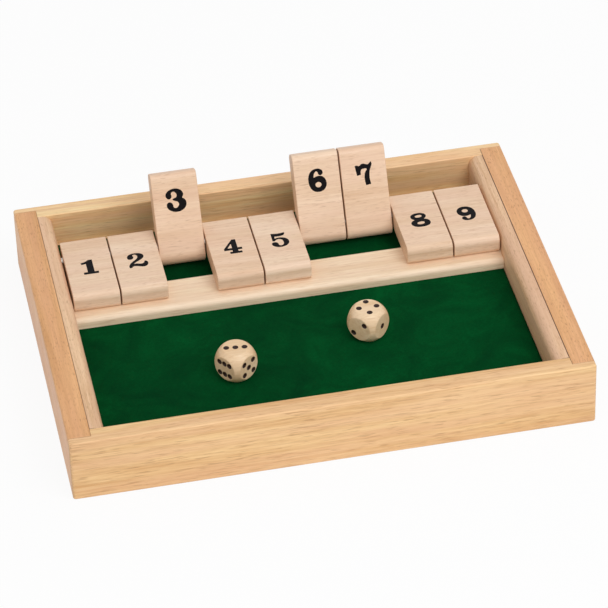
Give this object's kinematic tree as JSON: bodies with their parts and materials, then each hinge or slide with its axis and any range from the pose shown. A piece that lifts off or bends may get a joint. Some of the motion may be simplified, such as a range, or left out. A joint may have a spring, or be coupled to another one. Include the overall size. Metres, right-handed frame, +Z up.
{
  "type": "shut the box game",
  "caption": "Shallow open wooden tray with a row of numbered tiles that flip about a steel rod, a rest ledge, a felt floor and a pair of dice.",
  "frame": {"origin": "centre of the underside's outline, on the surface that the tray stands on", "axes": "+X along the row of tiles towards the highest number, +Y from the player's side to the back board, +Z up"},
  "size_m": [0.22, 0.1676, 0.0542],
  "materials": {
    "board_wood": "sanded pine, clear lacquer",
    "side_board_wood": "sanded pine, clear lacquer",
    "panel_wood": "plain plywood",
    "rail_wood": "sanded beech, clear lacquer",
    "ledge_wood": "sanded beech, clear lacquer",
    "tile_wood": "sanded beech, clear lacquer, printed number on both faces",
    "die_wood": "polished maple with painted pips",
    "felt": "short-nap green felt",
    "rod_steel": "bright drawn steel"
  },
  "bodies": {
    "box": {"front_board": "board_wood", "back_board": "board_wood", "left_board": "side_board_wood", "right_board": "side_board_wood", "base_panel": "panel_wood", "felt_lining": "felt", "left_rail": "rail_wood", "right_rail": "rail_wood", "rest_ledge": "ledge_wood", "pivot_rod": "rod_steel"},
    "tile_1": {"tile_1": "tile_wood"},
    "tile_2": {"tile_2": "tile_wood"},
    "tile_3": {"tile_3": "tile_wood"},
    "tile_4": {"tile_4": "tile_wood"},
    "tile_5": {"tile_5": "tile_wood"},
    "tile_6": {"tile_6": "tile_wood"},
    "tile_7": {"tile_7": "tile_wood"},
    "tile_8": {"tile_8": "tile_wood"},
    "tile_9": {"tile_9": "tile_wood"},
    "die_a": {"die_a": "die_wood"},
    "die_b": {"die_b": "die_wood"}
  },
  "joints": [
    {"name": "tile_1_flip", "type": "hinge", "parent": "box", "child": "tile_1", "pos_m": [0, 0.04761, 0.02385], "axis": [-1, 0, 0], "range_deg": [0, 116]},
    {"name": "tile_2_flip", "type": "hinge", "parent": "box", "child": "tile_2", "pos_m": [0, 0.04761, 0.02385], "axis": [-1, 0, 0], "range_deg": [0, 116]},
    {"name": "tile_3_flip", "type": "hinge", "parent": "box", "child": "tile_3", "pos_m": [0, 0.04761, 0.02385], "axis": [-1, 0, 0], "range_deg": [-116, 0]},
    {"name": "tile_4_flip", "type": "hinge", "parent": "box", "child": "tile_4", "pos_m": [0, 0.04761, 0.02385], "axis": [-1, 0, 0], "range_deg": [0, 116]},
    {"name": "tile_5_flip", "type": "hinge", "parent": "box", "child": "tile_5", "pos_m": [0, 0.04761, 0.02385], "axis": [-1, 0, 0], "range_deg": [0, 116]},
    {"name": "tile_6_flip", "type": "hinge", "parent": "box", "child": "tile_6", "pos_m": [0, 0.04761, 0.02385], "axis": [-1, 0, 0], "range_deg": [-116, 0]},
    {"name": "tile_7_flip", "type": "hinge", "parent": "box", "child": "tile_7", "pos_m": [0, 0.04761, 0.02385], "axis": [-1, 0, 0], "range_deg": [-116, 0]},
    {"name": "tile_8_flip", "type": "hinge", "parent": "box", "child": "tile_8", "pos_m": [0, 0.04761, 0.02385], "axis": [-1, 0, 0], "range_deg": [0, 116]},
    {"name": "tile_9_flip", "type": "hinge", "parent": "box", "child": "tile_9", "pos_m": [0, 0.04761, 0.02385], "axis": [-1, 0, 0], "range_deg": [0, 116]},
    {"name": "die_a_lift", "type": "slide", "parent": "box", "child": "die_a", "axis": [0, 0, 1], "range_m": [0, 0.05]},
    {"name": "die_b_lift", "type": "slide", "parent": "box", "child": "die_b", "axis": [0, 0, 1], "range_m": [0, 0.05]}
  ]
}
